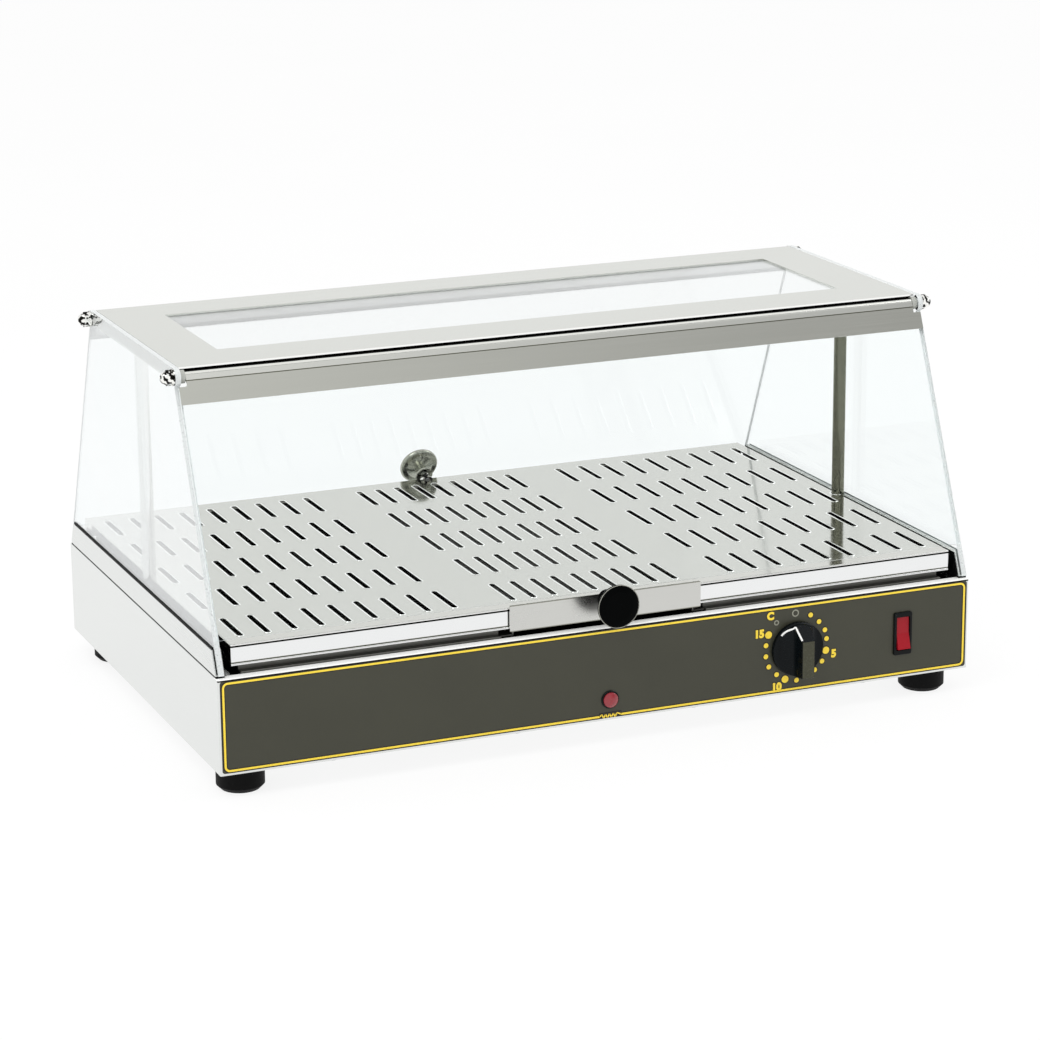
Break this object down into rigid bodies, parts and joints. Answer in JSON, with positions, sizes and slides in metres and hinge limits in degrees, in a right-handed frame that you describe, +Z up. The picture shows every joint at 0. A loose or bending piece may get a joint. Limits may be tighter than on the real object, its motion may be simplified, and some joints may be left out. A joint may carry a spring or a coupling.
{
  "type": "heated display case",
  "caption": "Countertop heated display case: steel cabinet with dial, rocker and lamp, slotted deck over a crumb drawer, leaning glass sides and two top-hinged glass flaps.",
  "frame": {"origin": "on the table under the centre of the cabinet, halfway between its sides and between the dial's face and the cable gland's end", "axes": "+Z up; +X to the right seen from the front; -Y towards the front with the controls"},
  "size_m": [0.6064, 0.415, 0.29],
  "materials": {
    "cabinet_steel": "satin",
    "polished_steel": "polished",
    "fascia": "satin",
    "clear_glass": "clear",
    "rubber": "matt",
    "zinc": "zinc plated",
    "black_plastic": "gloss",
    "black_matt": "matt",
    "red_plastic": "gloss",
    "red_lens": "clear",
    "element_tube": "dull",
    "mineral_wool": "fibrous",
    "cream_ceramic": "matt",
    "copper": "dull"
  },
  "bodies": {
    "case": {"cabinet_shell": "cabinet_steel", "base_plate": "cabinet_steel", "front_panel": "fascia", "feet": "rubber", "foot_screws": "zinc", "foot_nuts": "zinc", "base_screws": "zinc", "glass_channel_left": "cabinet_steel", "glass_channel_right": "cabinet_steel", "channel_seals": "rubber", "glazing_gaskets": "rubber", "edge_trims": "rubber", "side_glass_left": "clear_glass", "side_glass_right": "clear_glass", "post_left": "polished_steel", "post_right": "polished_steel", "post_nuts": "zinc", "top_frame": "cabinet_steel", "window_glass": "clear_glass", "window_beads": "cabinet_steel", "hinge_rod_front": "zinc", "hinge_rod_rear": "zinc", "rod_washers": "polished_steel", "rod_nuts": "polished_steel", "hinge_spacers": "cream_ceramic", "tray": "polished_steel", "tray_rails": "cabinet_steel", "drawer_runner_left": "cabinet_steel", "drawer_runner_right": "cabinet_steel", "heating_element_left": "element_tube", "heating_element_right": "element_tube", "element_nuts": "zinc", "element_clips": "zinc", "insulation_pad": "mineral_wool", "thermostat_body": "cream_ceramic", "thermostat_screws": "zinc", "thermostat_bulb": "copper", "bulb_clips": "zinc", "switch_body": "black_matt", "lamp_body": "black_matt", "lamp_lens": "red_lens", "cable_gland": "black_matt", "gland_nut": "black_matt", "terminal_block": "cream_ceramic"},
    "front_flap": {"front_flap_profile": "cabinet_steel", "front_flap_glass": "clear_glass"},
    "rear_flap": {"rear_flap_profile": "cabinet_steel", "rear_flap_glass": "clear_glass", "rear_knob": "black_plastic", "rear_knob_stud": "zinc", "rear_knob_nut": "polished_steel"},
    "drawer": {"drawer_pan": "cabinet_steel", "drawer_front": "polished_steel", "drawer_knob": "black_plastic", "drawer_knob_screw": "zinc"},
    "dial": {"thermostat_shaft": "zinc", "dial_knob": "black_plastic"},
    "rocker": {"switch_rocker": "red_plastic"}
  },
  "joints": [
    {"name": "front_flap_hinge", "type": "hinge", "parent": "case", "child": "front_flap", "pos_m": [0, -0.10435, 0.2835], "axis": [-1, 0, 0], "range_deg": [0, 110]},
    {"name": "rear_flap_hinge", "type": "hinge", "parent": "case", "child": "rear_flap", "pos_m": [0, 0.10435, 0.2835], "axis": [1, 0, 0], "range_deg": [0, 110]},
    {"name": "drawer_slide", "type": "slide", "parent": "case", "child": "drawer", "axis": [0, -1, 0], "range_m": [0, 0.25]},
    {"name": "dial_turn", "type": "hinge", "parent": "case", "child": "dial", "pos_m": [0.1505, -0.1875, 0.0525], "axis": [0, 1, 0], "range_deg": [0, 300]},
    {"name": "rocker_tilt", "type": "hinge", "parent": "case", "child": "rocker", "pos_m": [0.239, -0.1865, 0.0525], "axis": [1, 0, 0], "range_deg": [0, 18]}
  ]
}
